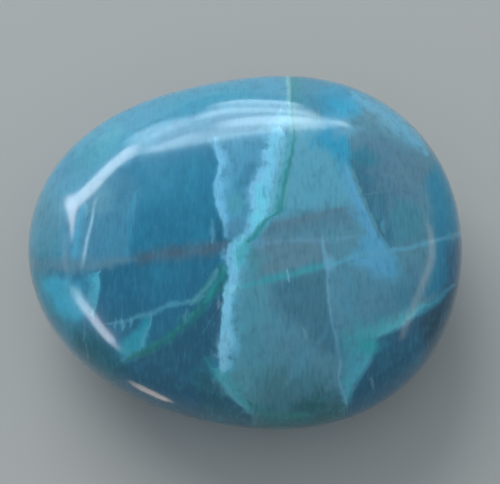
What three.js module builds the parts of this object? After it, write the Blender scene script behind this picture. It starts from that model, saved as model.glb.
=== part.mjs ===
// A polished chrysocolla pebble: one flattened, egg-shaped stone with a low domed top, rounded sides,
// a few broad worn flats and one small flat spot underneath, which it rests on.
// Millimetres, +Z up. The origin is on the resting spot, under the middle of the stone's outline.
import * as THREE from "three";
import { mergeVertices } from "three/addons/utils/BufferGeometryUtils.js";

// Driving dimensions, in millimetres
const MEAN_RADIUS = 19.25; // of the outline, seen from above
const TOP_HEIGHT = 8.9; // from the widest level up to the top
const UNDER_DEPTH = 8.4; // from the widest level down to the underside, before the resting spot is worn
const SPOT_DEPTH = 0.3; // worn off the underside to make the resting spot

// The outline swells and draws in with a few broad lobes: how many go round, how deep they are as a
// share of the mean radius, and the direction of the first one, in degrees from +X.
const OUTLINE_LOBES = [
  { count: 2, depth: 0.076, facing: 1 },
  { count: 3, depth: 0.032, facing: 57 },
  { count: 4, depth: 0.006, facing: -42 },
];

// How square the upright section is: 2 is an ellipse, and more gives a flatter top and fuller sides
const TOP_FULLNESS = 2.3;
const UNDER_FULLNESS = 2.2;

// Broad flats worn by tumbling: the way each one faces, round from +X and up from level, in degrees,
// and how deep it is worn into the plain pebble, in millimetres.
const FLATS = [
  { round: 157, up: 57, worn: 0.2 },
  { round: 186, up: 59, worn: 0.16 },
  { round: 213, up: 54, worn: 0.26 },
  { round: 243, up: 52, worn: 0.22 },
  { round: 283, up: 55, worn: 0.24 },
  { round: 331, up: 52, worn: 0.28 },
  { round: 12, up: 56, worn: 0.18 },
  { round: 50, up: 54, worn: 0.3 },
  { round: 86, up: 58, worn: 0.22 },
  { round: 121, up: 56, worn: 0.28 },
  { round: 20, up: -48, worn: 0.3 },
  { round: 92, up: -57, worn: 0.26 },
  { round: 158, up: -50, worn: 0.32 },
  { round: 230, up: -56, worn: 0.28 },
  { round: 297, up: -50, worn: 0.34 },
];
const EDGE_SHARPNESS = 70; // of the soft edges round the flats: more is crisper

const MESH_DETAIL = 15; // cuts in each edge of the starting icosahedron
const STONE_TEAL = new THREE.Color(0.07, 0.27, 0.34);

const radians = THREE.MathUtils.degToRad;

// Distance from the middle axis to the outline in one direction, seen from above.
function outlineRadius(angle) {
  const swell = OUTLINE_LOBES.reduce(
    (sum, lobe) => sum + lobe.depth * Math.cos(lobe.count * (angle - radians(lobe.facing))),
    1,
  );
  return MEAN_RADIUS * swell;
}

// Distance from the middle to the plain pebble, before the flats, along a unit direction. The upright
// section is a superellipse.
function pebbleRadius(direction) {
  const radius = outlineRadius(Math.atan2(direction.y, direction.x));
  const upper = direction.z > 0;
  const height = upper ? TOP_HEIGHT : UNDER_DEPTH;
  const fullness = upper ? TOP_FULLNESS : UNDER_FULLNESS;
  const level = Math.hypot(direction.x, direction.y) / radius;
  const upright = Math.abs(direction.z) / height;
  return (level ** fullness + upright ** fullness) ** (-1 / fullness);
}

// Directions spread evenly over a ball, flattened to the stone's proportions so that they are spread evenly
// over the stone as well.
function stoneDirections(ball) {
  const place = ball.getAttribute("position");
  const proportions = new THREE.Vector3(MEAN_RADIUS, MEAN_RADIUS, TOP_HEIGHT);
  return Array.from({ length: place.count }, (_, i) =>
    new THREE.Vector3().fromBufferAttribute(place, i).multiply(proportions).normalize(),
  );
}

// Each flat's outward direction, and its distance from the middle: as far out as the plain pebble reaches
// that way, less the worn depth.
function wornFlats(directions) {
  return FLATS.map(({ round, up, worn }) => {
    const level = Math.cos(radians(up));
    const normal = new THREE.Vector3(
      level * Math.cos(radians(round)),
      level * Math.sin(radians(round)),
      Math.sin(radians(up)),
    );
    const reaches = directions.map((direction) => normal.dot(direction) * pebbleRadius(direction));
    return { normal, distance: Math.max(...reaches) - worn };
  });
}

// Distance from the middle to the finished surface: the smaller of the pebble and each flat, with the
// change from one to the next rounded off by a power mean.
function stoneRadius(direction, flats) {
  const pebble = pebbleRadius(direction);
  const worn = flats.reduce((sum, flat) => {
    const reach = Math.max(0, flat.normal.dot(direction)) / flat.distance;
    return sum + (reach * pebble) ** EDGE_SHARPNESS;
  }, 1);
  return pebble * worn ** (-1 / EDGE_SHARPNESS);
}

// The stone's closed surface: an icosahedron's evenly spread directions, each pushed out to the surface.
function stoneGeometry() {
  const ball = new THREE.IcosahedronGeometry(1, MESH_DETAIL);
  ball.deleteAttribute("normal");
  ball.deleteAttribute("uv");
  const geometry = mergeVertices(ball);
  const place = geometry.getAttribute("position");
  const directions = stoneDirections(geometry);
  const flats = wornFlats(directions);
  directions.forEach((direction, i) => {
    const point = direction.clone().multiplyScalar(stoneRadius(direction, flats));
    // Everything under the resting plane is worn off level with it.
    const height = Math.max(0, point.z + UNDER_DEPTH - SPOT_DEPTH);
    place.setXYZ(i, point.x, point.y, height);
  });
  geometry.computeBoundingBox();
  const middle = geometry.boundingBox.getCenter(new THREE.Vector3());
  geometry.translate(-middle.x, -middle.y, 0);
  geometry.computeVertexNormals();
  return geometry;
}

const stone = new THREE.Mesh(
  stoneGeometry(),
  new THREE.MeshStandardMaterial({ color: STONE_TEAL, roughness: 0.08, metalness: 0 }),
);
stone.name = "polished_stone";

const pebble = new THREE.Group();
pebble.add(stone);

export default pebble;
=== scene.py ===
import math

import bpy
import numpy as np
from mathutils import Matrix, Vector


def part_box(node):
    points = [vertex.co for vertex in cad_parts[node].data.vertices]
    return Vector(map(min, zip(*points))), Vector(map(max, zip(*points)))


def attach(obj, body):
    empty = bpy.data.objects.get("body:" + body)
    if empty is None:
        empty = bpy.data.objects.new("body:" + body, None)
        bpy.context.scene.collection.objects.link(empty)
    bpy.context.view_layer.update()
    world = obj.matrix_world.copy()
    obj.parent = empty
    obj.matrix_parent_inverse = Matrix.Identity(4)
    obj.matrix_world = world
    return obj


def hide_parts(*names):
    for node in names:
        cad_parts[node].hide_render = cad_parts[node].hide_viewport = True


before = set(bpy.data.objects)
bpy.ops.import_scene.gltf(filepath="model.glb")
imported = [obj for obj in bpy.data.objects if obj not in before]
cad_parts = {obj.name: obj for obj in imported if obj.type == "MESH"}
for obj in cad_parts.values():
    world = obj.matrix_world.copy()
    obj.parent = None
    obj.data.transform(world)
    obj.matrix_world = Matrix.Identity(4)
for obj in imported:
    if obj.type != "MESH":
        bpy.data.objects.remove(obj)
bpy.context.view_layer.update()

# A polished chrysocolla pebble on a plain pale floor. Metres, +Z up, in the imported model's frame.
STONE_NODE = "polished_stone"
MM = 0.001


# The camera looks down on the stone from the near long side. The photograph is so many pixels wide and high.

PHOTO_WIDTH, PHOTO_HEIGHT = 500, 484
CAMERA_LENS = 100.0
CAMERA_SENSOR = 36.0
CAMERA_RISE = math.radians(65)
CAMERA_DISTANCE = 132.2 * MM
CAMERA_AIM = Vector((0.46, 0.36, 8.4)) * MM

line_of_sight = -Vector((0, -math.cos(CAMERA_RISE), math.sin(CAMERA_RISE)))
camera_place = CAMERA_AIM - line_of_sight * CAMERA_DISTANCE


def make_camera():
    camera = bpy.data.objects.new("camera", bpy.data.cameras.new("camera"))
    camera.data.lens = CAMERA_LENS
    camera.data.sensor_width = CAMERA_SENSOR
    camera.location = camera_place
    camera.rotation_euler = line_of_sight.to_track_quat("-Z", "Y").to_euler()
    bpy.context.scene.collection.objects.link(camera)
    bpy.context.scene.camera = camera


make_camera()


# The pebble's form: an outline of a few broad lobes, an upright section between an ellipse and a
# rectangle, and broad flats worn by tumbling. Sizes are in millimetres, as in the solid.

MEAN_RADIUS = 19.25
TOP_HEIGHT = 8.9
UNDER_DEPTH = 8.4
SPOT_DEPTH = 0.3
TOP_FULLNESS = 2.3
UNDER_FULLNESS = 2.2
EDGE_SHARPNESS = 70

# Number of lobes round the outline, their depth as a share of the mean radius, and the first one's way
OUTLINE_LOBES = ((2, 0.076, 1), (3, 0.032, 57), (4, 0.006, -42))

# The way each flat faces, round from +X and up from level, and how deep it is worn
FLATS = (
    (157, 57, 0.20), (186, 59, 0.16), (213, 54, 0.26), (243, 52, 0.22), (283, 55, 0.24),
    (331, 52, 0.28), (12, 56, 0.18), (50, 54, 0.30), (86, 58, 0.22), (121, 56, 0.28),
    (20, -48, 0.30), (92, -57, 0.26), (158, -50, 0.32), (230, -56, 0.28), (297, -50, 0.34),
)

ROWS_ABOVE = 150
ROWS_BELOW = 78
COLUMNS = 420


def facing(round_degrees, up_degrees):
    """The unit direction that is so many degrees round from +X and up from level."""
    turn, rise = math.radians(round_degrees), math.radians(up_degrees)
    return np.array((math.cos(rise) * math.cos(turn), math.cos(rise) * math.sin(turn), math.sin(rise)))


def plain_pebble(directions):
    """Distance from the middle to the pebble before wear: (level / outline)^n + (upright / height)^n = 1,
    where the outline swells and draws in with the lobes, and n is the section's fullness."""
    across, along, upright = directions.T
    turn = np.arctan2(along, across)
    swell = 1 + sum(depth * np.cos(count * (turn - math.radians(way))) for count, depth, way in OUTLINE_LOBES)
    height = np.where(upright > 0, TOP_HEIGHT, UNDER_DEPTH)
    fullness = np.where(upright > 0, TOP_FULLNESS, UNDER_FULLNESS)
    level_share = np.hypot(across, along) / (MEAN_RADIUS * swell)
    return (level_share**fullness + (np.abs(upright) / height) ** fullness) ** (-1 / fullness)


def worn_pebble(directions):
    """The plain pebble cut by each flat's plane, which is set in by its wear from where it would just
    touch, with a power mean rounding the change from one to the next."""
    plain = plain_pebble(directions)
    cuts = np.ones(len(directions))
    for turn, rise, worn in FLATS:
        toward = directions @ facing(turn, rise)
        distance = (toward * plain).max() - worn
        cuts += (np.maximum(toward, 0) / distance * plain) ** EDGE_SHARPNESS
    return plain * cuts ** (-1 / EDGE_SHARPNESS)


def stone_points():
    """The stone's surface over two angles, round and up: one row of points for each step up, with a single
    point at either pole. It is set level on the resting spot and fitted to the solid's own box."""
    below = np.linspace(-90, 0, ROWS_BELOW, endpoint=False)[1:]
    above = np.linspace(0, 90, ROWS_ABOVE, endpoint=False)
    rises = np.radians(np.concatenate((below, above)))
    turns = np.linspace(0, 2 * math.pi, COLUMNS, endpoint=False)
    rise, turn = np.meshgrid(rises, turns, indexing="ij")
    body = np.stack((
        MEAN_RADIUS * np.cos(rise) * np.cos(turn),
        MEAN_RADIUS * np.cos(rise) * np.sin(turn),
        TOP_HEIGHT * np.sin(rise),
    ), axis=-1).reshape(-1, 3)
    directions = np.vstack((body, (0, 0, -1), (0, 0, 1)))
    directions /= np.linalg.norm(directions, axis=1, keepdims=True)
    points = directions * worn_pebble(directions)[:, None]
    points[:, 2] = np.maximum(points[:, 2], SPOT_DEPTH - UNDER_DEPTH)
    low, high = points.min(axis=0), points.max(axis=0)
    box_low, box_high = (np.array(corner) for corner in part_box(STONE_NODE))
    return box_low + (points - low) / (high - low) * (box_high - box_low)


def grid_faces(rows, columns):
    """Four-sided faces between neighbouring rows of a grid that closes on itself, and a fan of triangles
    to the point under the first row and to the point over the last one."""
    row, column = np.meshgrid(np.arange(rows - 1), np.arange(columns), indexing="ij")
    after = (column + 1) % columns
    quads = np.stack((
        row * columns + column, row * columns + after,
        (row + 1) * columns + after, (row + 1) * columns + column,
    ), axis=-1).reshape(-1, 4)
    first = np.arange(columns)
    second = (first + 1) % columns
    last_row = (rows - 1) * columns
    under_pole, top_pole = rows * columns, rows * columns + 1
    under = np.stack((second, first, np.full(columns, under_pole)), axis=-1)
    over = np.stack((last_row + first, last_row + second, np.full(columns, top_pole)), axis=-1)
    return quads.tolist() + under.tolist() + over.tolist()


def make_stone():
    mesh = bpy.data.meshes.new("polished_pebble")
    mesh.from_pydata(stone_points().tolist(), [], grid_faces(ROWS_ABOVE + ROWS_BELOW - 1, COLUMNS))
    mesh.shade_smooth()
    stone = bpy.data.objects.new("polished_pebble", mesh)
    bpy.context.scene.collection.objects.link(stone)
    return stone


stone = make_stone()


# Where the stone shows in the photograph's frame: each point's pixel, and how far it has turned away
# from the camera, from -1 facing it to 1 facing straight away.

def read_vectors(items, field):
    """The points or normals of a mesh as a numpy array of rows."""
    values = np.empty(len(items) * 3, np.float32)
    items.foreach_get(field, values)
    return values.reshape(-1, 3).astype(float)


def pixels_of(points):
    """The photograph's pixel, across and down, at which the camera sees each point."""
    sight = np.array(line_of_sight)
    right = np.array((1.0, 0.0, 0.0))
    up = np.cross(right, sight)
    offsets = points - np.array(camera_place)
    scale = PHOTO_WIDTH * CAMERA_LENS / CAMERA_SENSOR / (offsets @ sight)
    return np.stack((
        PHOTO_WIDTH / 2 + scale * (offsets @ right),
        PHOTO_HEIGHT / 2 - scale * (offsets @ up),
    ), axis=1)


stone_places = read_vectors(stone.data.vertices, "co")
stone_normals = read_vectors(stone.data.vertex_normals, "vector")
stone_pixels = pixels_of(stone_places)
sight_rays = stone_places - np.array(camera_place)
sight_rays /= np.linalg.norm(sight_rays, axis=1, keepdims=True)
turned_away = (stone_normals * sight_rays).sum(axis=1)


# Materials are mixed from nodes

class Shade:
    """A number or colour that changes over a surface. Arithmetic on it adds Math nodes."""

    def __init__(self, mixture, socket):
        self.mixture = mixture
        self.socket = socket

    def __add__(self, other):
        return self.mixture.math("ADD", self, other)

    def __radd__(self, other):
        return self.mixture.math("ADD", other, self)

    def __sub__(self, other):
        return self.mixture.math("SUBTRACT", self, other)

    def __rsub__(self, other):
        return self.mixture.math("SUBTRACT", other, self)

    def __mul__(self, other):
        return self.mixture.math("MULTIPLY", self, other)

    def __rmul__(self, other):
        return self.mixture.math("MULTIPLY", other, self)

    def __abs__(self):
        return self.mixture.math("ABSOLUTE", self)


# Sockets of a Mix node that mixes colours
MIX_SHARE, MIX_UNDER, MIX_OVER, MIX_RESULT = 0, 6, 7, 2


class Mixture:
    """A material and the nodes that it is mixed from."""

    def __init__(self, name):
        self.material = bpy.data.materials.new(name)
        self.material.use_nodes = True
        self.tree = self.material.node_tree

    def put(self, value, socket):
        if isinstance(value, Shade):
            self.tree.links.new(value.socket, socket)
        else:
            socket.default_value = value

    def node(self, kind, settings, sockets, output=0):
        """A new node: its settings first, then the values or links of its sockets."""
        node = self.tree.nodes.new(kind)
        for setting, value in settings.items():
            setattr(node, setting, value)
        for socket, value in sockets.items():
            self.put(value, node.inputs[socket])
        return Shade(self, node.outputs[output])

    def math(self, operation, *values):
        return self.node("ShaderNodeMath", {"operation": operation}, dict(enumerate(values)))

    def smooth_step(self, value, start, end, low=0.0, high=1.0):
        """From low to high as the value goes from start to end, with a soft beginning and end."""
        return self.node(
            "ShaderNodeMapRange",
            {"interpolation_type": "SMOOTHSTEP"},
            {"Value": value, "From Min": start, "From Max": end, "To Min": low, "To Max": high},
        )

    def blend(self, share, under, over):
        """One colour over another, by a share from 0 to 1."""
        colours = {
            MIX_SHARE: share,
            MIX_UNDER: under if isinstance(under, Shade) else (*under, 1),
            MIX_OVER: over if isinstance(over, Shade) else (*over, 1),
        }
        return self.node("ShaderNodeMix", {"data_type": "RGBA"}, colours, MIX_RESULT)

    def grain(self, size, detail=2.0, roughness=0.5):
        """Noise from 0 to 1 whose grains are so many millimetres long, wide and high."""
        place = self.node("ShaderNodeTexCoord", {}, {}, "Object")
        scaled = self.node(
            "ShaderNodeMapping", {}, {"Vector": place, "Scale": tuple(1 / (side * MM) for side in size)}
        )
        return self.node(
            "ShaderNodeTexNoise",
            {},
            {"Vector": scaled, "Scale": 1.0, "Detail": detail, "Roughness": roughness},
        )


# Light panels, which the polish reflects. Each one is laid out by the highlight that it has to make: the
# highlight's two long edges in pixels of the photograph, its tint and its brightness, where 1 is white.

PANEL_DISTANCE = 1500 * MM
PANEL_STEP = 50 * MM
FLOOR_CLEARANCE = 0.5 * MM

# How far each of a panel's four rows of corners lies from its outer edge to its inner one, how full its
# glow is there, and how full the glow is at a row's two ends
PANEL_ROWS = (0.0, 0.22, 0.78, 1.0)
PANEL_FULLNESS = (0.0, 1.0, 1.0, 0.0)
PANEL_END = 0.3

# How many points of the surface a mirrored ray is blended from, and the least gap to one, in pixels
NEAREST_POINTS = 6
LEAST_GAP = 0.1

BLUE_SKY = (0.66, 0.88, 1.0)
PALE_SKY = (0.85, 0.93, 1.0)
LILAC_SKY = (0.92, 0.91, 1.0)
SANDY_GREY = (1.0, 0.84, 0.73)

# In the order in which they hang, each one nearer than those before it
HIGHLIGHTS = {
    "window_veil": (
        BLUE_SKY, 3.9,
        (
            (122, 143), (136, 131), (152, 123), (172, 118), (194, 114), (222, 102), (250, 99), (283, 100),
            (302, 106), (320, 115), (350, 123),
        ),
        (
            (134, 161), (148, 159), (164, 157), (182, 153), (200, 149), (226, 144), (250, 141), (283, 137),
            (302, 135), (320, 132), (350, 128),
        ),
    ),
    "window_foot": (
        BLUE_SKY, 6.2,
        (
            (146, 144), (165, 140), (185, 136), (205, 132), (228, 127), (250, 126), (280, 124), (310, 122),
            (334, 122),
        ),
        (
            (139, 156), (160, 153), (180, 149), (200, 145), (220, 141), (242, 137), (272, 133), (302, 130),
            (334, 129),
        ),
    ),
    "window_pane": (
        BLUE_SKY, 10.0,
        ((213, 124), (230, 119), (250, 116), (280, 115), (303, 116), (322, 120)),
        ((220, 131), (235, 128), (255, 127), (280, 126), (303, 125), (326, 127)),
    ),
    "window_middle": (
        BLUE_SKY, 7.0,
        ((196, 116), (210, 111), (228, 108), (250, 107), (280, 108), (300, 110), (318, 117)),
        ((193, 122), (210, 118), (228, 114), (250, 113), (280, 113), (300, 115), (316, 119)),
    ),
    "window_top": (
        BLUE_SKY, 5.0,
        ((208, 105), (227, 101), (250, 99), (280, 100), (294, 102), (303, 105)),
        ((208, 109), (227, 105), (250, 104), (280, 105), (294, 106), (304, 109)),
    ),
    "window_end": (
        BLUE_SKY, 5.5,
        ((144, 140), (152, 133), (164, 127), (178, 121), (192, 116)),
        ((146, 144), (155, 139), (167, 134), (181, 128), (193, 122)),
    ),
    "window_foot_end": (
        BLUE_SKY, 8.2,
        ((144, 147), (158, 144), (172, 139), (186, 134), (200, 131)),
        ((146, 155), (160, 152), (176, 147), (190, 142), (204, 138)),
    ),
    "window_tail": (
        BLUE_SKY, 7.0,
        ((316, 117), (328, 120), (340, 121), (350, 124)),
        ((317, 121), (328, 124.5), (340, 126), (350, 128)),
    ),
    "side_window": (
        PALE_SKY, 8.2,
        ((140, 142), (128, 146), (115, 156), (101, 168), (88, 181), (77, 191), (64, 201)),
        ((142, 155), (131, 160), (118, 169), (107, 180), (96, 192), (85, 204), (75, 213)),
    ),
    "side_window_end": (
        LILAC_SKY, 9.5,
        ((66, 193), (64, 203), (67, 214), (70, 226), (71, 243)),
        ((82, 197), (79, 208), (76, 218), (74, 229), (72, 244)),
    ),
    "left_veil": (
        PALE_SKY, 2.4,
        ((63, 232), (62, 250), (63, 268), (67, 286)),
        ((70, 234), (68, 250), (68, 268), (71, 284)),
    ),
    "left_bar": (
        BLUE_SKY, 9.0,
        ((96, 196), (91, 218), (86, 237), (83, 254), (81, 270)),
        ((98, 197), (94, 218), (89, 238), (86, 255), (83, 270)),
    ),
    "near_left_bar": (
        LILAC_SKY, 9.0,
        ((70, 288), (77, 304), (87, 318), (97, 331), (107, 342), (118, 351)),
        ((76, 286), (85, 299), (95, 312), (105, 325), (115, 336), (122, 349)),
    ),
    "near_edge": (
        SANDY_GREY, 2.8,
        ((127, 382), (139, 390), (151, 396), (163, 401), (173, 403)),
        ((129, 379), (142, 385), (154, 391), (166, 397), (174, 402)),
    ),
    "right_veil": (
        SANDY_GREY, 2.2,
        (
            (424, 222), (427, 240), (428, 255), (425, 268), (420, 280), (414, 295), (409, 310), (402, 324),
            (396, 340),
        ),
        (
            (430, 221), (435, 240), (436, 255), (433, 268), (428, 281), (422, 296), (416, 311), (410, 325),
            (403, 341),
        ),
    ),
}


def mirrored(pixel):
    """The point of the stone under a pixel, and the way in which the polish there mirrors the camera's
    sight: sight - 2 (sight . normal) normal. Both are blended from the nearest points on the seen side."""
    gap = np.hypot(*(stone_pixels - pixel).T) + np.where(turned_away < 0, 0, PHOTO_WIDTH)
    nearest = np.argsort(gap)[:NEAREST_POINTS]
    weight = 1 / (gap[nearest, None] + LEAST_GAP) ** 2
    place = (stone_places[nearest] * weight).sum(axis=0) / weight.sum()
    normal = (stone_normals[nearest] * weight).sum(axis=0)
    normal /= np.linalg.norm(normal)
    sight = place - np.array(camera_place)
    sight /= np.linalg.norm(sight)
    return place, sight - 2 * (sight @ normal) * normal


def panel_corner(pixel, distance):
    """Where the sight mirrored at a pixel meets the panel, which stays above the floor."""
    place, way = mirrored(pixel)
    if way[2] < 0:
        distance = min(distance, (place[2] - FLOOR_CLEARANCE) / -way[2])
    return place + way * distance


def make_panel(name, tint, brightness, outer_edge, inner_edge, distance):
    """A strip of four rows of corners between the two edges. Its glow is full along the two inner rows and
    runs out towards the edges and the ends, where the panel is clear."""
    count = len(outer_edge)
    outer = np.array([panel_corner(pixel, distance) for pixel in outer_edge])
    inner = np.array([panel_corner(pixel, distance) for pixel in inner_edge])
    corners = np.vstack([outer + (inner - outer) * share for share in PANEL_ROWS])
    strips = [
        (row * count + i, row * count + i + 1, (row + 1) * count + i + 1, (row + 1) * count + i)
        for row in range(len(PANEL_ROWS) - 1) for i in range(count - 1)
    ]
    fullness = np.outer(PANEL_FULLNESS, np.concatenate(((PANEL_END,), np.ones(count - 2), (PANEL_END,))))
    mesh = bpy.data.meshes.new(name)
    mesh.from_pydata(corners.tolist(), [], strips)
    mesh.attributes.new("fullness", "FLOAT", "POINT").data.foreach_set("value", fullness.ravel())
    mixture = Mixture(name)
    glow = mixture.node("ShaderNodeEmission", {}, {"Color": (*tint, 1), "Strength": brightness})
    clear = mixture.node("ShaderNodeBsdfTransparent", {}, {})
    share = mixture.node("ShaderNodeAttribute", {"attribute_name": "fullness"}, {}, "Fac")
    surface = mixture.node("ShaderNodeMixShader", {}, {0: share, 1: clear, 2: glow})
    mixture.put(surface, mixture.tree.nodes["Material Output"].inputs["Surface"])
    mesh.materials.append(mixture.material)
    panel = bpy.data.objects.new(name, mesh)
    bpy.context.scene.collection.objects.link(panel)
    panel.visible_camera = False
    panel.visible_diffuse = False
    panel.visible_shadow = False


for order, (name, highlight) in enumerate(HIGHLIGHTS.items()):
    make_panel(name, *highlight, PANEL_DISTANCE - order * PANEL_STEP)


# Soft light for the stone's own colours: a round softbox on the far left, and an even sky

SOFTBOX_TURN, SOFTBOX_RISE = 118, 38
SOFTBOX_WIDTH = 900 * MM
SOFTBOX_DISTANCE = 1000 * MM
SOFTBOX_BRIGHTNESS = 2.1
DAYLIGHT = (0.94, 0.98, 1.0)
SKY = (0.74, 0.86, 0.96)
SKY_STRENGTH = 0.55


def make_softbox():
    light = bpy.data.lights.new("far_left_softbox", "AREA")
    light.shape = "DISK"
    light.size = SOFTBOX_WIDTH
    light.energy = SOFTBOX_BRIGHTNESS * math.pi * SOFTBOX_WIDTH**2
    light.color = DAYLIGHT
    softbox = bpy.data.objects.new("far_left_softbox", light)
    way = Vector(facing(SOFTBOX_TURN, SOFTBOX_RISE))
    softbox.location = way * SOFTBOX_DISTANCE
    softbox.rotation_euler = way.to_track_quat("Z", "Y").to_euler()
    softbox.visible_glossy = False
    softbox.visible_camera = False
    bpy.context.scene.collection.objects.link(softbox)


def make_sky():
    sky = bpy.data.worlds.new("soft_sky")
    sky.use_nodes = True
    background = sky.node_tree.nodes["Background"]
    background.inputs["Color"].default_value = (*SKY, 1)
    background.inputs["Strength"].default_value = SKY_STRENGTH
    bpy.context.scene.world = sky


make_softbox()
make_sky()
bpy.context.scene.view_settings.view_transform = "Standard"


# The stone's own colours, and one dark blue for painted shade

DEEP_TEAL = (0.003, 0.235, 0.405)
DARK_TEAL = (0.0, 0.165, 0.295)
NIGHT_TEAL = (0.0, 0.118, 0.205)
# Used only for painted shade on the lower right rim
INK_BLUE = (0.0, 0.045, 0.085)
MISTY_BLUE = (0.11, 0.40, 0.55)
LILAC_GREY = (0.055, 0.15, 0.225)
CLEAR_BLUE = (0.03, 0.44, 0.64)
SKY_BLUE = (0.26, 0.80, 1.0)
AZURE = (0.0, 0.36, 0.60)
TURQUOISE = (0.08, 0.52, 0.68)
SEA_GREEN = (0.02, 0.44, 0.46)
MOSS_TEAL = (0.0, 0.13, 0.135)
MILKY_BLUE = (0.34, 0.78, 0.94)


# Markings are laid out over the photograph's pixels, across and down, with widths in millimetres. On the
# side that the photograph doesn't show they run on through the stone and drift away from the seen ones.

PIXELS_PER_MM = PHOTO_WIDTH * CAMERA_LENS / CAMERA_SENSOR * MM / CAMERA_DISTANCE

# How far, in pixels across and down, a marking has drifted where the surface faces straight away
HIDDEN_DRIFT = np.array((64.0, -70.0))

# Pieces that a curve has between two points of its route
CURVE_STEPS = 4

# How far round its curve's box a marking is worked out, in millimetres, and the reach stored beyond that
MARKING_MARGIN = 3.5
FARTHEST_REACH = 100.0

# How many times faster a line fades past its ends than to its sides
PAST_THE_END = 3.5

# How much wider than stated a line is where its colour has faded to nothing
FEATHERING = 1.4

# How wide the crisp side of a glow is, in millimetres
CRISP_SIDE = 0.3

# How markings wander: the length of the waves and how far they push a marking, in millimetres
WANDERINGS = ((2.4, 0.035), (0.8, 0.022))
WAVES = 14


def wandering(places, wavelength, push):
    """Random smooth offsets, across and down: for each, a sum of sine waves of one length that run through
    the stone in random directions from random starts."""
    random = np.random.default_rng(int(wavelength * 100))
    ways = random.normal(size=(2, WAVES, 3))
    ways *= 2 * math.pi / wavelength / np.linalg.norm(ways, axis=2, keepdims=True)
    starts = random.uniform(0, 2 * math.pi, size=(2, WAVES))
    waves = np.sin(np.einsum("nk,awk->naw", places / MM, ways) + starts)
    return push * waves.sum(axis=2) / math.sqrt(WAVES / 2)


def marking_pixels():
    """Where each point of the surface lies among the markings: its own pixel on the seen side, moved on by
    the drift in proportion as it faces away, and a little astray everywhere."""
    drift = np.clip(turned_away, 0, 1)[:, None] * HIDDEN_DRIFT
    astray = sum(wandering(stone_places, wavelength, push) for wavelength, push in WANDERINGS)
    return stone_pixels + drift + astray * PIXELS_PER_MM


marked = marking_pixels()


def curved(route, closed=False):
    """A smooth curve through the points of a route (Catmull-Rom): between two points, the cubic whose slope
    at each end is half the step from the point before it to the point after it."""
    points = np.array(route, float)
    before, after, beyond = (np.roll(points, shift, axis=0) for shift in (1, -1, -2))
    if not closed:
        before[0] = points[0]
        beyond[-2:] = points[-1]
        points, before, after, beyond = (rows[:-1] for rows in (points, before, after, beyond))
    share = np.linspace(0, 1, CURVE_STEPS, endpoint=False)[:, None]
    pieces = [
        start + share * (end - first) / 2
        + share**2 * (2 * first - 5 * start + 4 * end - last) / 2
        + share**3 * (3 * start - first - 3 * end + last) / 2
        for first, start, end, last in zip(before, points, after, beyond)
    ]
    return np.vstack((*pieces, route[0] if closed else route[-1]))


def nearest_on(curve, closed=False):
    """For each marked point the nearest place of the curve: how far it is in millimetres, more than 0 on
    the left of the way that the curve runs as seen in the photograph, and the curve's own width there. Past
    either end the distance is drawn out, so that a line ends there. Points far away stay at infinity."""
    margin = MARKING_MARGIN * PIXELS_PER_MM
    low, high = curve[:, :2].min(axis=0) - margin, curve[:, :2].max(axis=0) + margin
    close = np.flatnonzero(((marked > low) & (marked < high)).all(axis=1))
    points = marked[close]
    nearest = np.full(len(close), np.inf)
    signed = np.zeros(len(close))
    width = np.ones(len(close))
    last = len(curve) - 2
    for i, (start, end) in enumerate(zip(curve[:-1], curve[1:])):
        step = end[:2] - start[:2]
        offset = points - start[:2]
        share = offset @ step / max(step @ step, 1e-9)
        along = np.clip(share, 0, 1)
        gap = np.hypot(offset[:, 0] - along * step[0], offset[:, 1] - along * step[1])
        closer = gap < nearest
        past_end = ((share < 0) & (i == 0) | (share > 1) & (i == last)) & (not closed)
        side = np.sign(step[1] * offset[:, 0] - step[0] * offset[:, 1])
        nearest = np.where(closer, gap, nearest)
        signed = np.where(closer, side * gap * np.where(past_end, PAST_THE_END, 1.0), signed)
        if len(start) > 2:
            width = np.where(closer, start[2] + along * (end[2] - start[2]), width)
    distance = np.full(len(marked), np.inf)
    distance[close] = signed / PIXELS_PER_MM
    curve_width = np.ones(len(marked))
    curve_width[close] = width
    return distance, curve_width


class Vein:
    """A line, with its half width at each point of the route. The fade is the share of its width over which
    its colour runs out."""

    feathered = True

    def __init__(self, tint, strength, fade, route):
        self.tint = tint
        self.strength = strength
        self.fade = fade
        self.route = route

    def reach(self):
        """0 along the middle and 1 where the colour has faded: distance / feathered half width."""
        distance, half_width = nearest_on(curved(self.route))
        return distance / (half_width * FEATHERING)


class Glow(Vein):
    """Light or dark colour on the left of a line, where it begins sharply. It fades with the distance from
    the line, over as many millimetres as each point of the route says."""

    def reach(self):
        """0 where the crisp side ends, a little way in from the line, 1 on the line, and 1 where the colour
        has faded: distance in from the crisp side / feathered spread."""
        distance, spread = nearest_on(curved(self.route))
        within = distance - CRISP_SIDE
        return np.where(within > 0, within / (spread * FEATHERING), within / CRISP_SIDE)


class Zone(Vein):
    """An area inside a closed outline. Its border is twice as wide as the softness, in millimetres."""

    feathered = False

    def __init__(self, tint, strength, softness, route):
        super().__init__(tint, strength, 1.0, route)
        self.softness = softness

    def reach(self):
        """0 inside, 1 outside and 1/2 on the outline: 1/2 + distance / (2 softness). A point is inside where
        a line from it to the right crosses the outline an odd number of times."""
        curve = curved(self.route, closed=True)
        distance = np.abs(nearest_on(curve, closed=True)[0])
        inside = np.zeros(len(marked), bool)
        for (across, down), (next_across, next_down) in zip(curve[:-1], curve[1:]):
            spans = (down > marked[:, 1]) != (next_down > marked[:, 1])
            rise = next_down - down if next_down != down else 1.0
            crossing = across + (next_across - across) * (marked[:, 1] - down) / rise
            inside ^= spans & (marked[:, 0] < crossing)
        return np.clip(0.5 + np.where(inside, -distance, distance) / (2 * self.softness), 0, None)


# In the order in which they are laid, each one over those before it

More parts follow.
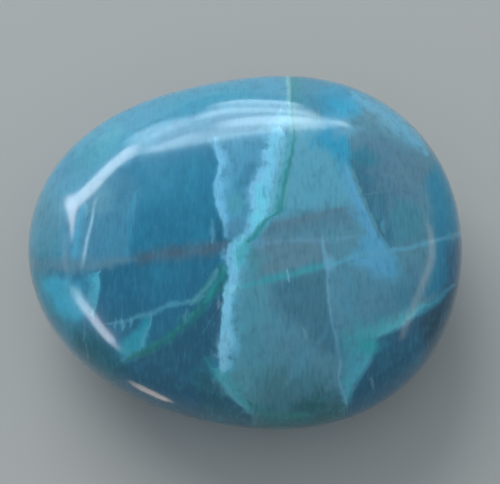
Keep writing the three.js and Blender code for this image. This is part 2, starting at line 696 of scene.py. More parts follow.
MARKINGS = {
    "upper_rim": Zone((0.065, 0.39, 0.59), 1.0, 1.3, (
        (10, 250), (20, 150), (90, 90), (200, 60), (300, 50), (420, 70), (470, 150), (440, 165),
        (400, 135), (345, 116), (300, 110), (250, 104), (205, 110), (150, 140), (115, 163), (85, 192),
        (68, 222), (56, 258),
    )),
    "left_rim": Zone((0.055, 0.285, 0.38), 0.85, 1.2, (
        (0, 200), (50, 195), (62, 220), (60, 250), (62, 280), (80, 320), (100, 350), (90, 400), (0, 400),
    )),
    "pale_left_rim": Zone((0.15, 0.38, 0.50), 0.5, 1.6, (
        (30, 190), (60, 168), (84, 168), (74, 190), (64, 206), (60, 236), (40, 250), (20, 230),
    )),
    "green_rim_patch": Zone((0.13, 0.54, 0.62), 0.65, 1.4, (
        (80, 152), (100, 136), (120, 130), (114, 146), (94, 162), (80, 172),
    )),
    "clear_rim_patch": Zone((0.015, 0.37, 0.54), 0.7, 1.2, (
        (162, 104), (190, 92), (245, 83), (252, 95), (215, 101), (180, 113),
    )),
    "left_band": Zone((0.055, 0.29, 0.45), 1.0, 0.6, (
        (80, 200), (100, 182), (125, 172), (141, 186), (137, 206), (136, 226), (132, 242), (129, 262),
        (90, 268), (66, 266), (66, 225),
    )),
    "left_band_light": Zone((0.14, 0.40, 0.52), 0.65, 0.9, (
        (90, 196), (102, 186), (112, 194), (107, 210), (95, 212),
    )),
    "left_core_glow": Zone((0.03, 0.30, 0.47), 0.7, 1.4, (
        (140, 162), (164, 156), (170, 184), (146, 196),
    )),
    # Painted reflection: a soft blue veil of sky light between the left highlight streaks, laid into the
    # colour
    "painted_reflection_blue_strip": Vein((0.07, 0.45, 0.68), 0.8, 1.0, (
        (84, 203, 0.2), (80, 218, 0.65), (77, 236, 0.75), (75, 253, 0.65), (74, 270, 0.2),
    )),
    "cyan_fleck": Vein((0.22, 0.70, 0.80), 0.45, 1.0, (
        (84, 202, 0.15), (87, 210, 0.35), (86, 218, 0.15),
    )),
    "left_band_edge": Glow((0.05, 0.37, 0.56), 0.85, 1.0, (
        (129, 258, 0.3), (133, 240, 0.8), (136, 224, 0.9), (137, 206, 0.8), (140, 190, 0.2),
    )),
    "left_core_lower": Zone((0.0, 0.20, 0.34), 0.8, 1.6, (
        (140, 215), (215, 205), (226, 250), (135, 265),
    )),
    "below_band": Zone(DARK_TEAL, 1.0, 0.35, (
        (99, 268), (130, 262), (160, 258), (200, 254), (230, 250), (232, 300), (224, 330), (160, 345),
        (118, 340), (97, 322), (98, 303), (101, 288),
    )),
    "smoky_left": Vein((0.12, 0.28, 0.37), 0.75, 1.0, (
        (30, 262, 1.0), (60, 266, 1.3), (90, 266, 1.2), (115, 262, 0.8), (140, 258, 0.3),
    )),
    "smoky_band": Zone(LILAC_GREY, 0.95, 0.6, (
        (136, 254), (155, 249), (178, 246), (202, 243), (230, 239), (232, 248), (204, 256), (178, 259),
        (155, 262), (138, 264),
    )),
    "smoky_core": Zone((0.09, 0.15, 0.215), 0.5, 0.45, (
        (150, 255), (175, 251), (200, 248), (222, 244), (223, 248), (200, 253), (176, 256), (152, 259),
    )),
    "night_zone": Zone(NIGHT_TEAL, 1.0, 0.4, (
        (230, 300), (218, 300), (202, 312), (186, 328), (164, 345), (147, 353), (132, 362), (110, 368),
        (80, 372), (100, 420), (180, 450), (262, 450), (262, 430), (250, 412), (236, 400), (222, 386),
        (213, 374), (212, 362), (225, 352), (228, 330),
    )),
    # Painted shade: darkens the lower left rim, where the stone turns under and shade falls
    "painted_shade_lower_left_rim": Zone((0.0, 0.135, 0.18), 0.85, 0.9, (
        (82, 324), (96, 332), (108, 344), (119, 354), (126, 366), (112, 380), (90, 374), (72, 350),
    )),
    "green_shade_foot": Zone((0.0, 0.135, 0.165), 0.6, 1.2, (
        (196, 372), (212, 376), (230, 404), (246, 418), (222, 428), (200, 402),
    )),
    "turquoise_edge": Glow(TURQUOISE, 1.0, 1.0, (
        (94, 318, 0.3), (99, 306, 1.1), (101, 292, 1.6), (101, 280, 1.4), (101, 272, 0.8),
    )),
    "turquoise_rim_patch": Zone((0.05, 0.47, 0.66), 1.0, 0.7, (
        (44, 284), (58, 276), (74, 282), (82, 296), (86, 312), (76, 320), (60, 314), (50, 300),
    )),
    "thread": Vein((0.08, 0.37, 0.50), 0.85, 1.0, (
        (106, 324, 0.2), (119, 322, 0.3), (130, 320, 0.32), (141, 316, 0.4), (150, 314, 0.5),
        (160, 310, 0.45), (170, 305, 0.4), (180, 303, 0.45), (190, 301, 0.4), (200, 298, 0.35),
        (208, 295, 0.2),
    )),
    "thread_bead_1": Vein((0.14, 0.46, 0.60), 0.6, 1.0, (
        (115, 318, 0.12), (115, 324, 0.25), (115, 329, 0.1),
    )),
    "thread_bead_2": Vein((0.16, 0.50, 0.66), 0.7, 1.0, (
        (122, 318, 0.15), (123, 325, 0.36), (122, 331, 0.12),
    )),
    "thread_bead_3": Vein((0.16, 0.50, 0.66), 0.7, 1.0, (
        (130, 317, 0.12), (132, 322, 0.32), (131, 328, 0.12),
    )),
    "turquoise_wedge": Zone((0.01, 0.42, 0.55), 0.95, 0.45, (
        (149, 318), (149, 332), (146, 347), (138, 355), (127, 358), (118, 350), (127, 339), (138, 328),
    )),
    "wedge_spur": Vein((0.13, 0.50, 0.66), 0.65, 1.0, (
        (150, 315, 0.15), (150, 325, 0.2), (146, 333, 0.32), (143, 341, 0.38), (142, 349, 0.3),
        (136, 354, 0.2),
    )),
    "wedge_foot": Vein((0.06, 0.36, 0.46), 0.7, 1.0, ((140, 352, 0.4), (128, 357, 0.6), (120, 362, 0.3))),
    "green_vein_left": Vein((0.0, 0.19, 0.205), 0.95, 0.9, (
        (226, 264, 0.5), (223, 272, 1.0), (221, 280, 0.8), (217, 288, 1.3), (211, 296, 1.0),
        (206, 302, 0.6), (199, 309, 0.9), (193, 316, 0.5), (187, 322, 0.95), (178, 330, 0.55),
        (171, 336, 0.8), (161, 342, 0.45), (152, 348, 0.7), (141, 354, 0.4), (127, 360, 0.3),
    )),
    "green_vein_spur": Vein((0.0, 0.20, 0.22), 0.85, 1.0, (
        (217, 283, 0.5), (211, 282, 0.6), (205, 288, 0.5), (200, 296, 0.4), (196, 303, 0.2),
    )),
    "green_vein_light": Vein((0.0, 0.34, 0.33), 0.75, 1.0, (
        (224, 266, 0.2), (222, 276, 0.5), (216, 284, 0.25), (211, 291, 0.5), (207, 299, 0.4),
        (202, 304, 0.1),
    )),
    "green_vein_light_middle": Vein((0.02, 0.34, 0.35), 0.7, 1.0, (
        (196, 310, 0.1), (190, 316, 0.4), (186, 323, 0.2),
    )),
    "green_vein_light_low": Vein((0.0, 0.31, 0.31), 0.6, 1.0, (
        (180, 326, 0.2), (174, 331, 0.5), (167, 336, 0.2),
    )),
    "green_vein_light_foot": Vein((0.0, 0.31, 0.31), 0.65, 1.0, (
        (158, 341, 0.2), (150, 346, 0.5), (141, 351, 0.3), (134, 355, 0.5), (126, 359, 0.2),
    )),
    "green_vein_streak": Vein((0.10, 0.40, 0.47), 0.7, 1.0, (
        (217, 268, 0.2), (214, 276, 0.5), (209, 283, 0.4), (203, 291, 0.35), (196, 300, 0.5),
        (190, 305, 0.2),
    )),
    "green_vein_bead": Vein((0.09, 0.38, 0.44), 0.6, 1.0, (
        (188, 306, 0.15), (186, 315, 0.4), (184, 324, 0.15),
    )),
    "shadow_by_vein": Zone((0.01, 0.10, 0.21), 0.7, 0.5, (
        (222, 292), (223, 330), (216, 332), (208, 318), (212, 306),
    )),
    "rim_streak_high": Vein((0.13, 0.34, 0.44), 0.5, 1.0, (
        (84, 322, 0.1), (84, 332, 0.3), (84, 342, 0.1),
    )),
    "rim_streak_low": Vein((0.15, 0.34, 0.44), 0.5, 1.0, (
        (86, 342, 0.1), (87, 350, 0.25), (88, 359, 0.1),
    )),
    "centre": Zone((0.107, 0.325, 0.42), 1.0, 0.3, (
        (291, 50), (291, 100), (292, 130), (288, 160), (283, 182), (279, 203), (270, 220), (256, 236),
        (238, 252), (230, 266), (228, 280), (224, 292), (222, 310), (221, 335), (220, 352), (220, 366),
        (216, 372), (218, 380), (224, 389), (235, 400), (244, 410), (252, 418), (262, 440), (340, 440),
        (347, 408), (352, 393), (362, 376), (371, 361), (375, 340), (388, 334), (406, 324), (426, 308),
        (446, 292), (475, 270), (500, 200), (470, 90), (380, 50),
    )),
    "centre_upper": Zone((0.12, 0.44, 0.58), 1.0, 0.8, (
        (292, 130), (320, 125), (350, 150), (352, 175), (362, 205), (340, 212), (300, 214), (278, 222),
        (282, 195), (288, 165),
    )),
    "under_the_rim": Zone((0.02, 0.29, 0.45), 0.8, 0.8, (
        (292, 72), (322, 76), (326, 95), (318, 112), (294, 112),
    )),
    "azure_patch": Zone(AZURE, 0.9, 1.0, (
        (322, 88), (345, 80), (360, 92), (362, 108), (345, 112), (340, 125), (350, 150), (352, 164),
        (340, 162), (326, 150), (312, 140), (322, 120),
    )),
    "pale_spot_upper": Zone((0.20, 0.50, 0.70), 0.6, 1.0, (
        (334, 112), (345, 110), (352, 120), (360, 130), (348, 136), (336, 132),
    )),
    "azure_streak": Vein((0.0, 0.40, 0.64), 0.8, 1.0, (
        (342, 134, 0.3), (346, 145, 0.8), (350, 156, 0.8), (352, 166, 0.3),
    )),
    "azure_spot": Zone((0.01, 0.50, 0.78), 0.7, 0.8, (
        (334, 104), (350, 98), (364, 104), (356, 114), (340, 118),
    )),
    "grey_band_centre": Vein((0.10, 0.225, 0.305), 0.6, 1.0, (
        (254, 238, 0.4), (270, 231, 1.2), (290, 226, 1.7), (312, 221, 1.9), (334, 216, 1.8),
        (354, 211, 1.4), (372, 207, 0.7),
    )),
    "grey_band_core": Vein((0.13, 0.215, 0.28), 0.5, 1.0, (
        (258, 234, 0.2), (272, 227, 0.45), (292, 222, 0.5), (312, 217, 0.5), (330, 212, 0.4),
        (346, 208, 0.2),
    )),
    "grey_middle": Zone((0.135, 0.285, 0.36), 0.9, 0.6, (
        (262, 236), (300, 240), (324, 240), (327, 262), (305, 266), (280, 272), (255, 276), (240, 282),
        (244, 262), (250, 246),
    )),
    "sea_haze_middle": Zone((0.05, 0.35, 0.41), 0.6, 0.8, (
        (243, 250), (256, 246), (262, 260), (258, 276), (243, 282),
    )),
    "lilac_spot": Zone((0.19, 0.42, 0.60), 0.7, 0.5, (
        (256, 242), (264, 239), (269, 244), (264, 249), (256, 248),
    )),
    "slate_middle": Zone((0.055, 0.215, 0.295), 0.9, 0.9, (
        (272, 286), (300, 274), (327, 266), (328, 290), (332, 318), (334, 345), (322, 352), (306, 330),
        (290, 322), (276, 306),
    )),
    "centre_lower_left": Zone((0.09, 0.36, 0.455), 0.85, 1.4, (
        (232, 292), (262, 288), (262, 320), (268, 350), (284, 372), (290, 392), (262, 408), (244, 400),
        (226, 384), (220, 366), (222, 330),
    )),
    "green_haze_foot": Zone((0.115, 0.40, 0.45), 0.7, 1.4, (
        (222, 378), (240, 366), (262, 372), (276, 392), (262, 408), (244, 404),
    )),
    "centre_foot": Zone((0.06, 0.225, 0.265), 0.8, 1.2, (
        (262, 374), (290, 370), (322, 376), (324, 400), (300, 412), (262, 408), (254, 392),
    )),
    "moss_foot": Zone(MOSS_TEAL, 0.9, 1.2, (
        (296, 402), (318, 392), (334, 390), (345, 396), (348, 408), (344, 440), (256, 440), (252, 420),
        (272, 413), (290, 411),
    )),
    "green_foot_light": Vein((0.01, 0.26, 0.24), 0.7, 1.0, (
        (246, 400, 0.2), (258, 410, 0.6), (275, 415, 0.7), (295, 416, 0.5), (312, 415, 0.2),
    )),
    "grey_foot_spot": Zone((0.06, 0.22, 0.28), 0.6, 0.5, (
        (324, 396), (340, 396), (340, 406), (326, 406),
    )),
    "right_middle": Zone((0.095, 0.31, 0.43), 0.8, 1.0, (
        (338, 270), (380, 282), (410, 262), (426, 262), (420, 298), (400, 316), (372, 328), (350, 330),
        (340, 310),
    )),
    "right_middle_blue": Zone((0.04, 0.27, 0.39), 0.7, 0.7, (
        (396, 290), (414, 282), (424, 290), (414, 306), (398, 310),
    )),
    "right_grey": Zone((0.11, 0.27, 0.37), 1.0, 1.0, (
        (352, 160), (360, 176), (366, 191), (372, 205), (378, 218), (386, 232), (394, 248), (412, 246),
        (426, 238), (426, 222), (424, 205), (424, 190), (432, 174), (424, 160), (404, 146), (384, 138),
        (366, 134), (354, 140),
    )),
    "right_grey_green": Zone((0.0, 0.23, 0.32), 0.7, 0.6, (
        (352, 152), (368, 150), (378, 160), (366, 170), (354, 164),
    )),
    "right_grey_lilac": Zone((0.13, 0.30, 0.40), 0.6, 1.0, (
        (388, 150), (404, 160), (412, 178), (402, 186), (388, 168),
    )),
    "right_grey_sea": Zone((0.05, 0.30, 0.39), 0.75, 0.8, (
        (392, 204), (410, 202), (424, 216), (424, 238), (400, 244), (388, 232),
    )),
    "right_dark_wedge": Glow((0.035, 0.185, 0.28), 0.95, 1.0, (
        (349, 160, 0.3), (354, 176, 1.8), (360, 192, 3.0), (366, 207, 3.2), (372, 220, 2.4),
        (379, 233, 1.6), (389, 250, 0.8),
    )),
    "right_bright_edge": Glow((0.13, 0.46, 0.72), 0.95, 1.0, (
        (392, 256, 0.2), (386, 245, 0.9), (378, 231, 1.3), (371, 217, 1.5), (365, 204, 1.6),
        (359, 190, 1.4), (353, 175, 1.1), (348, 162, 0.3),
    )),
    "right_tick": Vein((0.15, 0.46, 0.62), 0.55, 1.0, (
        (383, 219, 0.15), (383, 227, 0.35), (385, 234, 0.15),
    )),
    "right_pale": Zone((0.11, 0.45, 0.69), 0.9, 0.8, (
        (366, 238), (384, 244), (394, 254), (398, 268), (392, 280), (376, 276), (362, 268), (352, 262),
        (358, 250),
    )),
    "right_rim_band": Zone((0.0, 0.265, 0.43), 1.0, 0.7, (
        (427, 182), (431, 200), (432, 222), (434, 244), (434, 262), (430, 282), (424, 296), (440, 292),
        (480, 262), (500, 200), (470, 140), (446, 150),
    )),
    # Painted shade: darkens the right rim, the side turned away from the light
    "painted_shade_right_rim": Zone((0.0, 0.10, 0.20), 0.9, 0.9, (
        (450, 246), (480, 226), (480, 300), (436, 312), (444, 280),
    )),
    "upper_right_rim": Vein((0.16, 0.57, 0.82), 0.7, 1.0, (
        (350, 92, 0.6), (368, 104, 1.2), (388, 116, 1.5), (404, 129, 1.5), (418, 143, 0.9),
        (428, 156, 0.3),
    )),
    "green_streak": Vein((0.05, 0.42, 0.48), 0.85, 1.0, (
        (228, 289, 0.5), (245, 286, 0.5), (260, 282, 0.5), (275, 278, 0.62), (290, 275, 0.62),
        (300, 272, 0.55), (312, 268, 0.55), (326, 265, 0.5), (340, 262, 0.2),
    )),
    "pale_streak": Vein((0.13, 0.46, 0.62), 0.75, 1.0, (
        (332, 265, 0.2), (345, 260, 0.42), (355, 257, 0.42), (370, 254, 0.45), (385, 252, 0.4),
        (395, 250, 0.35), (412, 247, 0.35), (426, 243, 0.42), (442, 239, 0.3), (452, 236, 0.5),
        (466, 232, 0.5),
    )),
    "pale_streak_upper": Vein((0.16, 0.38, 0.53), 0.55, 1.0, (
        (256, 244, 0.25), (275, 242, 0.4), (300, 240, 0.4), (325, 241, 0.5), (345, 238, 0.3),
        (360, 235, 0.1),
    )),
    "grey_hairline": Vein((0.12, 0.31, 0.41), 0.32, 1.0, (
        (352, 197, 0.15), (375, 193, 0.22), (400, 189, 0.22), (422, 185, 0.1),
    )),
    "green_streak_fleck": Vein(MILKY_BLUE, 0.55, 1.0, (
        (286, 267, 0.1), (288, 275, 0.26), (289, 283, 0.1),
    )),
    "diagonal_streak": Vein((0.11, 0.36, 0.48), 0.6, 1.0, (
        (332, 318, 0.3), (324, 334, 0.6), (314, 348, 0.8), (304, 360, 0.9), (294, 372, 0.7),
        (286, 386, 0.3),
    )),
    "small_fleck": Vein((0.20, 0.42, 0.52), 0.5, 1.0, (
        (303, 327, 0.1), (305, 333, 0.28), (306, 340, 0.1),
    )),
    "lower_right_dark": Zone(NIGHT_TEAL, 1.0, 0.14, (
        (376, 341), (388, 335.5), (406, 325.5), (426, 309.5), (446, 293.5), (475, 272), (520, 300),
        (480, 440), (340, 450), (348, 409), (353, 394), (363, 377), (372, 362),
    )),
    # Painted shade: near black on the lower right rim, the most shaded part of the stone
    "painted_shade_lower_right_rim": Zone(INK_BLUE, 0.8, 0.9, (
        (420, 318), (446, 296), (470, 280), (470, 330), (440, 360), (426, 340),
    )),
    # Painted shade: darkens the whole near rim, from lower left round to the right, standing in for the shade
    # beneath it
    "painted_shade_lower_rim": Vein((0.0, 0.055, 0.065), 0.8, 1.0, (
        (96, 374, 0.6), (130, 399, 1.0), (170, 417, 1.2), (215, 428, 1.2), (260, 433, 1.0),
        (320, 431, 1.0), (372, 417, 1.2), (412, 390, 1.2), (440, 352, 1.0), (455, 310, 0.6),
    )),
    "lower_right_fleck": Vein((0.16, 0.32, 0.40), 0.6, 1.0, (
        (371, 378, 0.12), (372, 384, 0.28), (373, 390, 0.1),
    )),
    "lower_right_edge": Glow((0.10, 0.56, 0.64), 0.95, 1.0, (
        (346, 343, 0.6), (360, 342, 1.1), (374, 340, 1.6), (388, 334.5, 1.8), (406, 324.5, 1.5),
        (420, 313.5, 0.8), (429, 306, 0.4),
    )),
    "lower_right_tail": Vein((0.04, 0.36, 0.50), 0.7, 1.0, (
        (416, 316, 0.3), (428, 306.5, 0.6), (438, 299, 0.55), (448, 290, 0.35), (455, 284, 0.15),
    )),
    "teal_triangle": Zone((0.06, 0.37, 0.49), 0.75, 0.5, (
        (340, 350), (346, 340), (362, 335), (374, 340), (373, 352), (369, 363), (360, 377), (351, 391),
        (346, 403), (342, 394), (341, 380), (342, 362),
    )),
    "sea_haze_corner": Zone((0.05, 0.40, 0.45), 0.6, 1.2, (
        (340, 334), (362, 327), (380, 328), (372, 348), (352, 352),
    )),
    "triangle_edge": Glow((0.08, 0.51, 0.61), 0.85, 1.0, (
        (347, 404, 0.3), (352, 391, 1.0), (361, 377, 1.6), (370, 363, 1.8), (374, 352, 1.8),
        (375, 341, 1.0),
    )),
    "sea_green_corner": Zone(SEA_GREEN, 0.9, 0.5, (
        (360, 344), (368, 340), (375, 342), (373, 352), (364, 353),
    )),
    "fine_line_shade": Glow((0.11, 0.36, 0.48), 0.6, 1.0, (
        (327, 266, 0.5), (327, 278, 0.9), (328, 294, 1.1), (330, 308, 1.3), (333, 325, 1.1),
        (336, 340, 0.3),
    )),
    "fine_line": Vein((0.20, 0.50, 0.68), 0.62, 1.0, (
        (322, 236, 0.15), (324, 250, 0.3), (326, 262, 0.4), (328, 270, 0.32), (328, 285, 0.24),
        (329, 300, 0.26), (331, 315, 0.24), (334, 330, 0.26), (337, 345, 0.26), (340, 360, 0.22),
        (339, 380, 0.24), (343, 393, 0.34), (347, 404, 0.2),
    )),
    "fine_line_knob": Zone((0.20, 0.52, 0.72), 0.7, 0.5, (
        (326, 259), (332, 259), (333, 268), (328, 270),
    )),
    "upper_pale": Zone((0.085, 0.39, 0.59), 1.0, 0.25, (
        (213, 136), (214, 150), (217, 162), (217, 170), (214, 180), (213, 190), (214, 200), (216, 210),
        (219, 218), (223, 226), (224, 238), (240, 240), (252, 226), (268, 205), (272, 180), (276, 150),
        (278, 132),
    )),
    "upper_pale_edge": Glow((0.22, 0.66, 0.95), 1.0, 1.0, (
        (212, 136, 0.3), (213, 150, 1.1), (216, 162, 1.3), (216, 170, 1.4), (213, 180, 1.5),
        (212, 190, 1.5), (213, 200, 1.5), (215, 210, 1.4), (218, 218, 1.1), (222, 226, 0.7),
        (223, 238, 0.3),
    )),
    "blue_wedge": Zone((0.045, 0.26, 0.42), 0.85, 0.6, (
        (244, 170), (254, 160), (258, 174), (250, 184), (246, 194), (247, 206), (246, 214), (240, 200),
        (238, 186),
    )),
    "pale_green_spot": Zone((0.09, 0.43, 0.54), 0.85, 0.5, (
        (230, 198), (238, 194), (243, 204), (240, 214), (231, 212),
    )),
    "dim_blue_foot": Zone((0.10, 0.32, 0.48), 0.7, 0.5, (
        (226, 222), (240, 220), (245, 230), (236, 238), (226, 236),
    )),
    "dark_notch": Zone((0.0, 0.13, 0.23), 0.9, 0.25, (
        (217, 217), (221, 224), (223, 234), (222, 242), (217, 238), (216, 228),
    )),
    "pale_tick": Vein((0.12, 0.42, 0.60), 0.55, 1.0, (
        (212, 219, 0.15), (213, 230, 0.35), (213, 244, 0.2),
    )),
    "bright_vein_halo": Vein((0.14, 0.54, 0.74), 0.8, 1.0, (
        (281, 110, 0.6), (280, 122, 1.4), (277, 135, 1.8), (274, 168, 2.0), (269, 188, 2.1),
        (265, 208, 1.9), (252, 235, 1.0), (238, 250, 1.3), (234, 280, 0.9),
    )),
    "bright_vein": Vein((0.24, 0.75, 1.0), 0.97, 0.8, (
        (279, 128, 0.5), (277, 137, 1.1), (274, 150, 1.2), (272, 160, 1.3), (271, 170, 1.3),
        (268, 178, 1.4), (264, 186, 1.65), (263, 194, 1.7), (262, 202, 1.55), (260, 210, 1.3),
        (258, 218, 1.15), (255, 226, 0.9), (250, 234, 0.6), (244, 241, 0.5),
    )),
    "vein_glow": Vein((0.20, 0.82, 1.0), 0.85, 1.0, (
        (258, 182, 0.4), (256, 190, 0.9), (258, 198, 1.0), (262, 205, 1.1), (259, 213, 1.0),
        (256, 221, 0.8), (253, 227, 0.4),
    )),
    "vein_heart": Vein((0.09, 0.55, 0.76), 0.5, 1.0, (
        (265, 184, 0.2), (264.5, 192, 0.5), (264, 198, 0.2),
    )),
    "vein_right_haze": Vein((0.20, 0.57, 0.72), 0.8, 1.0, (
        (284, 136, 0.4), (283, 150, 0.9), (281, 165, 0.9), (278, 178, 0.8), (276, 190, 0.8),
        (274, 202, 0.8), (269, 212, 0.5),
    )),
    "vein_haze": Vein((0.29, 0.68, 1.0), 0.75, 1.0, (
        (264, 150, 0.4), (263, 165, 0.4), (261, 174, 0.35), (256, 181, 0.55), (252, 188, 0.5),
        (252, 200, 0.4), (254, 210, 0.3),
    )),
    "vein_strip": Vein((0.25, 0.62, 0.86), 0.75, 1.0, (
        (248, 220, 0.15), (247, 228, 0.35), (245, 238, 0.4), (240, 244, 0.4),
    )),
    "vein_tick": Vein((0.16, 0.46, 0.68), 0.6, 1.0, (
        (246, 184, 0.15), (247, 194, 0.35), (250, 206, 0.2),
    )),
    "vein_lower_haze": Vein((0.13, 0.47, 0.63), 0.6, 1.0, (
        (246, 256, 0.5), (243, 266, 0.9), (241, 278, 1.0), (238, 292, 1.0), (235, 306, 0.9),
        (234, 322, 0.8), (232, 340, 0.5),
    )),
    "vein_lower": Vein(SKY_BLUE, 0.9, 0.9, (
        (247, 237, 0.5), (239, 245, 1.1), (235, 256, 1.15), (234, 266, 0.85), (234, 276, 0.7),
        (231, 288, 0.9), (225, 298, 0.6),
    )),
    "vein_lower_left": Vein((0.28, 0.64, 0.96), 0.7, 1.0, (
        (231, 244, 0.3), (227, 256, 0.4), (231, 268, 0.4), (234, 278, 0.45), (229, 288, 0.3),
    )),
    "vein_lower_sea": Zone((0.05, 0.56, 0.66), 0.7, 0.4, (
        (238, 244), (247, 242), (246, 256), (240, 266), (237, 256),
    )),
    "milky_joint": Vein(MILKY_BLUE, 0.7, 1.0, (
        (236, 285, 0.2), (230, 290, 0.5), (225, 297, 0.4), (226, 304, 0.1),
    )),
    "centre_edge_spread": Glow((0.13, 0.58, 0.76), 0.95, 1.0, (
        (225, 292, 0.6), (222, 304, 1.6), (220, 320, 2.0), (219, 335, 2.2), (218, 350, 2.4),
        (217, 364, 2.0), (215, 374, 0.8),
    )),
    "centre_edge": Glow((0.28, 0.74, 0.98), 1.0, 0.8, (
        (225, 290, 0.3), (222, 300, 0.8), (221, 310, 1.0), (220, 320, 1.1), (219, 335, 1.5),
        (218, 350, 1.7), (218, 362, 1.4), (219, 372, 0.5),
    )),
    "centre_edge_low": Vein((0.33, 0.78, 1.0), 0.9, 1.0, (
        (224, 332, 0.3), (223, 344, 0.8), (223, 356, 0.9), (222, 366, 0.5), (221, 374, 0.2),
    )),
    "lilac_tick": Vein((0.22, 0.33, 0.46), 0.7, 1.0, (
        (219, 294, 0.06), (219, 301, 0.25), (218, 310, 0.06),
    )),
    "foot_edge": Glow((0.07, 0.49, 0.54), 0.9, 1.0, (
        (211, 370, 0.5), (216, 379, 1.5), (222, 389, 1.8), (234, 401, 1.5), (242, 408.5, 0.8),
        (247, 412.5, 0.3),
    )),
    "foot_tip": Vein((0.02, 0.36, 0.42), 0.5, 1.0, ((204, 357, 0.3), (209, 366, 0.7), (216, 376, 0.8))),
    "foot_edge_pale": Vein((0.16, 0.52, 0.62), 0.6, 1.0, (
        (222, 382, 0.1), (228, 388, 0.3), (234, 396, 0.3), (240, 403, 0.3), (246, 410, 0.1),
    )),
    "green_line_halo": Vein((0.10, 0.50, 0.57), 0.8, 1.0, (
        (289, 70, 0.6), (289, 100, 0.4), (290, 130, 0.4), (287, 155, 0.5), (283, 175, 0.6),
        (278, 195, 0.6), (274, 212, 0.6), (266, 219, 0.4), (256, 232, 0.4), (242, 250, 0.6),
        (240, 260, 0.5),
    )),
    "green_line_top": Zone((0.0, 0.29, 0.34), 0.6, 0.6, (
        (292, 66), (300, 70), (301, 88), (300, 102), (293, 106),
    )),
    "green_line_pale": Vein((0.28, 0.64, 0.74), 0.8, 1.0, (
        (288, 72, 0.2), (288, 90, 0.36), (289, 104, 0.2),
    )),
    "green_line": Vein((0.01, 0.30, 0.30), 0.78, 1.0, (
        (292, 66, 0.3), (292.5, 86, 0.25), (292, 107, 0.2), (294, 127, 0.22), (293.5, 139, 0.28),
        (292, 150, 0.28), (290, 162, 0.3), (287.5, 171, 0.45), (285.5, 180, 0.45), (284, 190, 0.4),
        (282.5, 200, 0.6), (281, 207, 0.7), (279, 212, 0.35), (271.5, 216.5, 0.12), (264.5, 221, 0.4),
        (259.5, 229, 0.5), (254.5, 237, 0.4), (248, 243, 0.2),
    )),
    "green_line_light": Vein((0.14, 0.52, 0.52), 0.5, 1.0, (
        (289, 178, 0.1), (287.5, 190, 0.3), (285, 200, 0.2), (284, 206, 0.1),
    )),
    "far_side_shade": Zone(NIGHT_TEAL, 0.85, 0.8, (
        (150, 40), (200, 24), (262, 18), (284, 36), (270, 56), (228, 60), (180, 76), (150, 84),
    )),
    "far_side_haze": Zone((0.08, 0.36, 0.44), 0.85, 0.8, (
        (330, 20), (392, 30), (430, 60), (452, 96), (440, 104), (410, 84), (372, 62), (338, 52),
    )),
    "far_side_vein": Vein((0.20, 0.64, 0.84), 0.85, 1.0, (
        (318, -10, 0.3), (322, 14, 0.7), (316, 34, 0.9), (322, 50, 0.6), (318, 58, 0.2),
    )),
}

for name, marking in MARKINGS.items():
    reach = np.clip(marking.reach(), -FARTHEST_REACH, FARTHEST_REACH)
    stone.data.attributes.new(name, "FLOAT", "POINT").data.foreach_set("value", reach.astype(np.float32))


# The polish

# Grains of the stone's fine patterns, in millimetres across, along and up
FIBRE_SIZE = (0.26, 1.5, 0.9)
MOTTLE_SIZE = (0.9, 1.3, 0.9)
CLOUD_SIZE = (3.4, 4.6, 3.4)
FLECK_SIZE = (0.5, 1.2, 0.8)

# How far fibres and mottling push a marking's border in and out, as a share of its reach
FIBRE_PUSH = 0.7
MOTTLE_PUSH = 1.1

# How much of a marking's colour is laid everywhere, and how much more on fibres and on mottling
EVEN_COLOUR = 0.55
FIBRE_COLOUR = 0.4
MOTTLE_COLOUR = 0.6

# Thin washes over all the markings: the pattern, its value where the wash begins and where it is full, how
# much of its colour is laid there, and the colour
WASHES = (
    ("clouds", 0.50, 0.80, 0.30, DARK_TEAL),
    ("clouds", 0.50, 0.20, 0.20, CLEAR_BLUE),
    ("mottle", 0.50, 0.75, 0.26, NIGHT_TEAL),
    ("mottle", 0.50, 0.28, 0.12, CLEAR_BLUE),
    ("flecks", 0.60, 0.80, 0.14, MISTY_BLUE),
    ("fibres", 0.46, 0.72, 0.12, MISTY_BLUE),
    ("fibres", 0.54, 0.28, 0.20, NIGHT_TEAL),
)

# A glassy coat over a slightly cloudy body
POLISH = {
    "Roughness": 0.25,
    "Specular IOR Level": 0.15,
    "Coat Weight": 1.0,
    "Coat Roughness": 0.09,
    "Subsurface Weight": 0.2,
    "Subsurface Radius": (0.4, 0.7, 0.8),
    "Subsurface Scale": 1 * MM,
}
BUMP_DEPTH = 0.0012 * MM


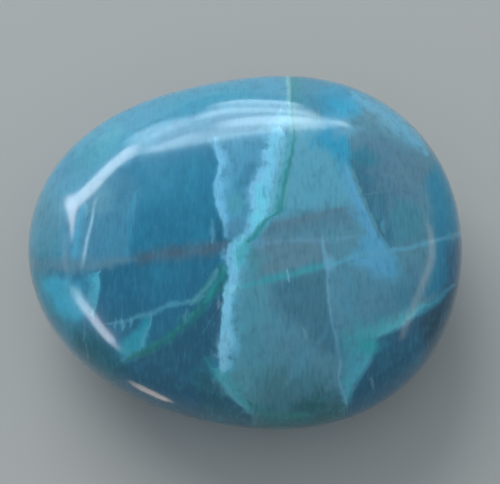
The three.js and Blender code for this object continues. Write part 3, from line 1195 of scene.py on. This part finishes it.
def polished_chrysocolla():
    """Each marking's colour laid over those before it, by an amount that falls smoothly with its reach.
    Fibres and mottling make every border ragged and every colour uneven. The washes go over it all."""
    stone_mix = Mixture("polished_chrysocolla")
    patterns = {
        "fibres": stone_mix.grain(FIBRE_SIZE),
        "mottle": stone_mix.grain(MOTTLE_SIZE, detail=4.0, roughness=0.6),
        "clouds": stone_mix.grain(CLOUD_SIZE, detail=3.0),
        "flecks": stone_mix.grain(FLECK_SIZE),
    }
    fibres, mottle = patterns["fibres"], patterns["mottle"]
    ragged = (fibres - 0.5) * FIBRE_PUSH + (mottle - 0.5) * MOTTLE_PUSH
    uneven = EVEN_COLOUR + fibres * FIBRE_COLOUR + mottle * MOTTLE_COLOUR
    colour = DEEP_TEAL
    for name, marking in MARKINGS.items():
        reach = stone_mix.node("ShaderNodeAttribute", {"attribute_name": name}, {}, "Fac")
        share = stone_mix.smooth_step(abs(reach) + ragged, 1 - marking.fade, 1.0)
        amount = (1 - share) * uneven * marking.strength
        if marking.feathered:
            amount = amount * (1 - share)
        colour = stone_mix.blend(amount, colour, marking.tint)
    for pattern, begins, full, most, tint in WASHES:
        amount = stone_mix.smooth_step(patterns[pattern], begins, full, 0.0, most)
        colour = stone_mix.blend(amount, colour, tint)
    shader = stone_mix.tree.nodes["Principled BSDF"]
    bump = stone_mix.node(
        "ShaderNodeBump", {}, {"Strength": 1.0, "Distance": BUMP_DEPTH, "Height": fibres + mottle}
    )
    for socket, value in {"Base Color": colour, "Normal": bump, **POLISH}.items():
        stone_mix.put(value, shader.inputs[socket])
    return stone_mix.material


stone.data.materials.append(polished_chrysocolla())


# A plain pale floor, far wider than the view

FLOOR_HALF_WIDTH = 3.0
FLOOR_GREY = (0.52, 0.50, 0.47)
FLOOR_ROUGHNESS = 0.8


def make_floor():
    side = FLOOR_HALF_WIDTH
    corners = [(-side, -side, 0), (side, -side, 0), (side, side, 0), (-side, side, 0)]
    mesh = bpy.data.meshes.new("floor")
    mesh.from_pydata(corners, [], [(0, 1, 2, 3)])
    finish = Mixture("floor")
    shader = finish.tree.nodes["Principled BSDF"]
    finish.put((*FLOOR_GREY, 1), shader.inputs["Base Color"])
    finish.put(FLOOR_ROUGHNESS, shader.inputs["Roughness"])
    mesh.materials.append(finish.material)
    floor = bpy.data.objects.new("floor", mesh)
    bpy.context.scene.collection.objects.link(floor)


make_floor()


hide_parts(STONE_NODE)
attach(stone, "root")

bpy.context.view_layer.update()
